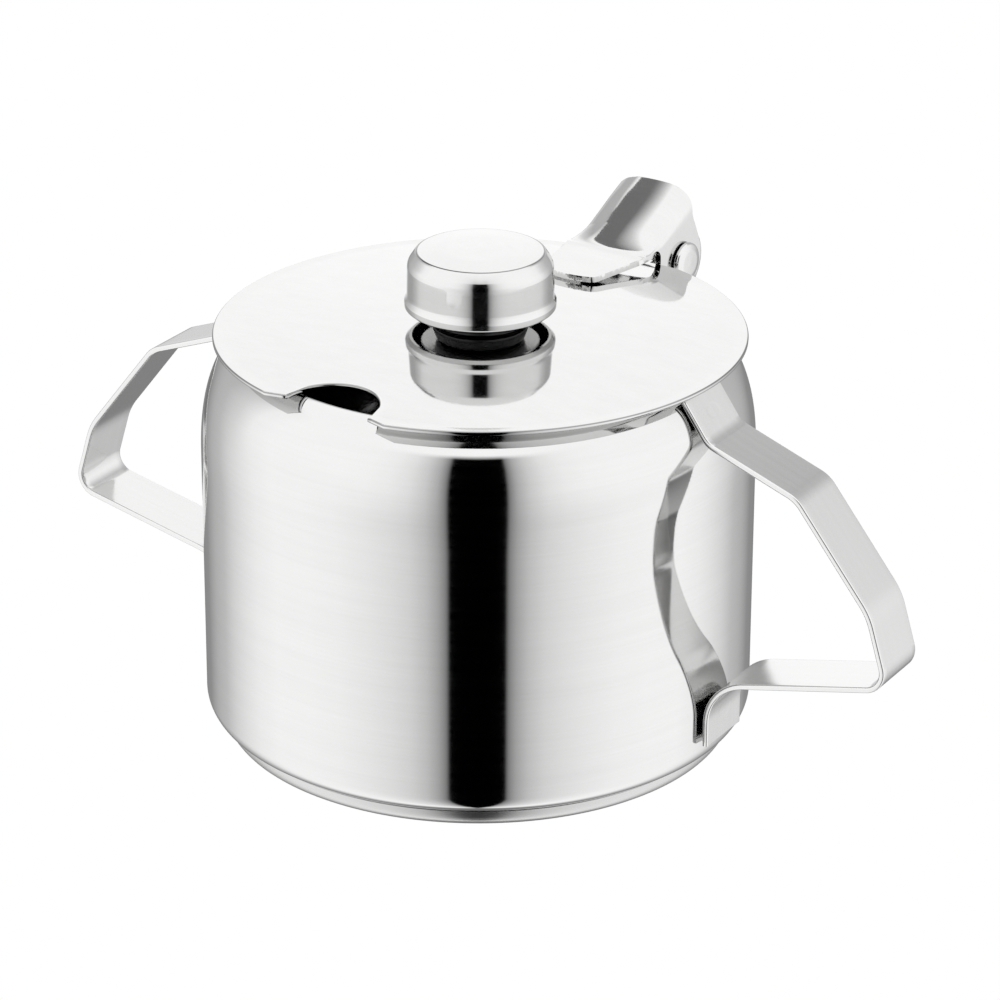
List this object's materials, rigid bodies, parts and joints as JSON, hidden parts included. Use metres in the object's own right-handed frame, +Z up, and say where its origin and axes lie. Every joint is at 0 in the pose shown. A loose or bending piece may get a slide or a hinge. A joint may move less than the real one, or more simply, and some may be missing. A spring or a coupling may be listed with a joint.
{
  "type": "sugar bowl",
  "caption": "Stainless steel sugar bowl with two bent strap handles and a flat hinged lid with a spoon notch and a hollow knob.",
  "frame": {"origin": "middle of the bowl's flat underside, on the table", "axes": "+Z up, hinge towards +Y, spoon notch towards -Y, handles along +X and -X turned about 3.6 degrees about Z"},
  "size_m": [0.161, 0.1047, 0.0857],
  "materials": {
    "bowl_body": "polished stainless steel, faint turning marks",
    "bowl_base": "satin stainless steel",
    "lid": "polished stainless steel",
    "knob_cap": "polished stainless steel",
    "knob_plate": "satin stainless steel",
    "knob_weld_nut": "plain steel",
    "knob_spacer": "black moulded plastic, satin",
    "knob_washer": "plain steel",
    "knob_screw": "plain steel",
    "handle_left": "stainless steel, brushed along the strap, polished edges",
    "handle_right": "stainless steel, brushed along the strap, polished edges",
    "hinge_hood": "polished stainless steel",
    "hinge_rivet": "polished stainless steel",
    "hinge_bracket": "satin stainless steel"
  },
  "bodies": {
    "bowl": {"bowl_body": "bowl_body", "bowl_base": "bowl_base", "handle_left": "handle_left", "handle_right": "handle_right", "hinge_bracket": "hinge_bracket"},
    "lid": {"lid": "lid", "knob_cap": "knob_cap", "knob_plate": "knob_plate", "knob_weld_nut": "knob_weld_nut", "knob_spacer": "knob_spacer", "knob_washer": "knob_washer", "knob_screw": "knob_screw", "hinge_hood": "hinge_hood", "hinge_rivet": "hinge_rivet"}
  },
  "joints": [
    {"name": "lid_hinge", "type": "hinge", "parent": "bowl", "child": "lid", "pos_m": [0, 0.0517, 0.0693], "axis": [-1, 0, 0], "range_deg": [0, 100]}
  ]
}
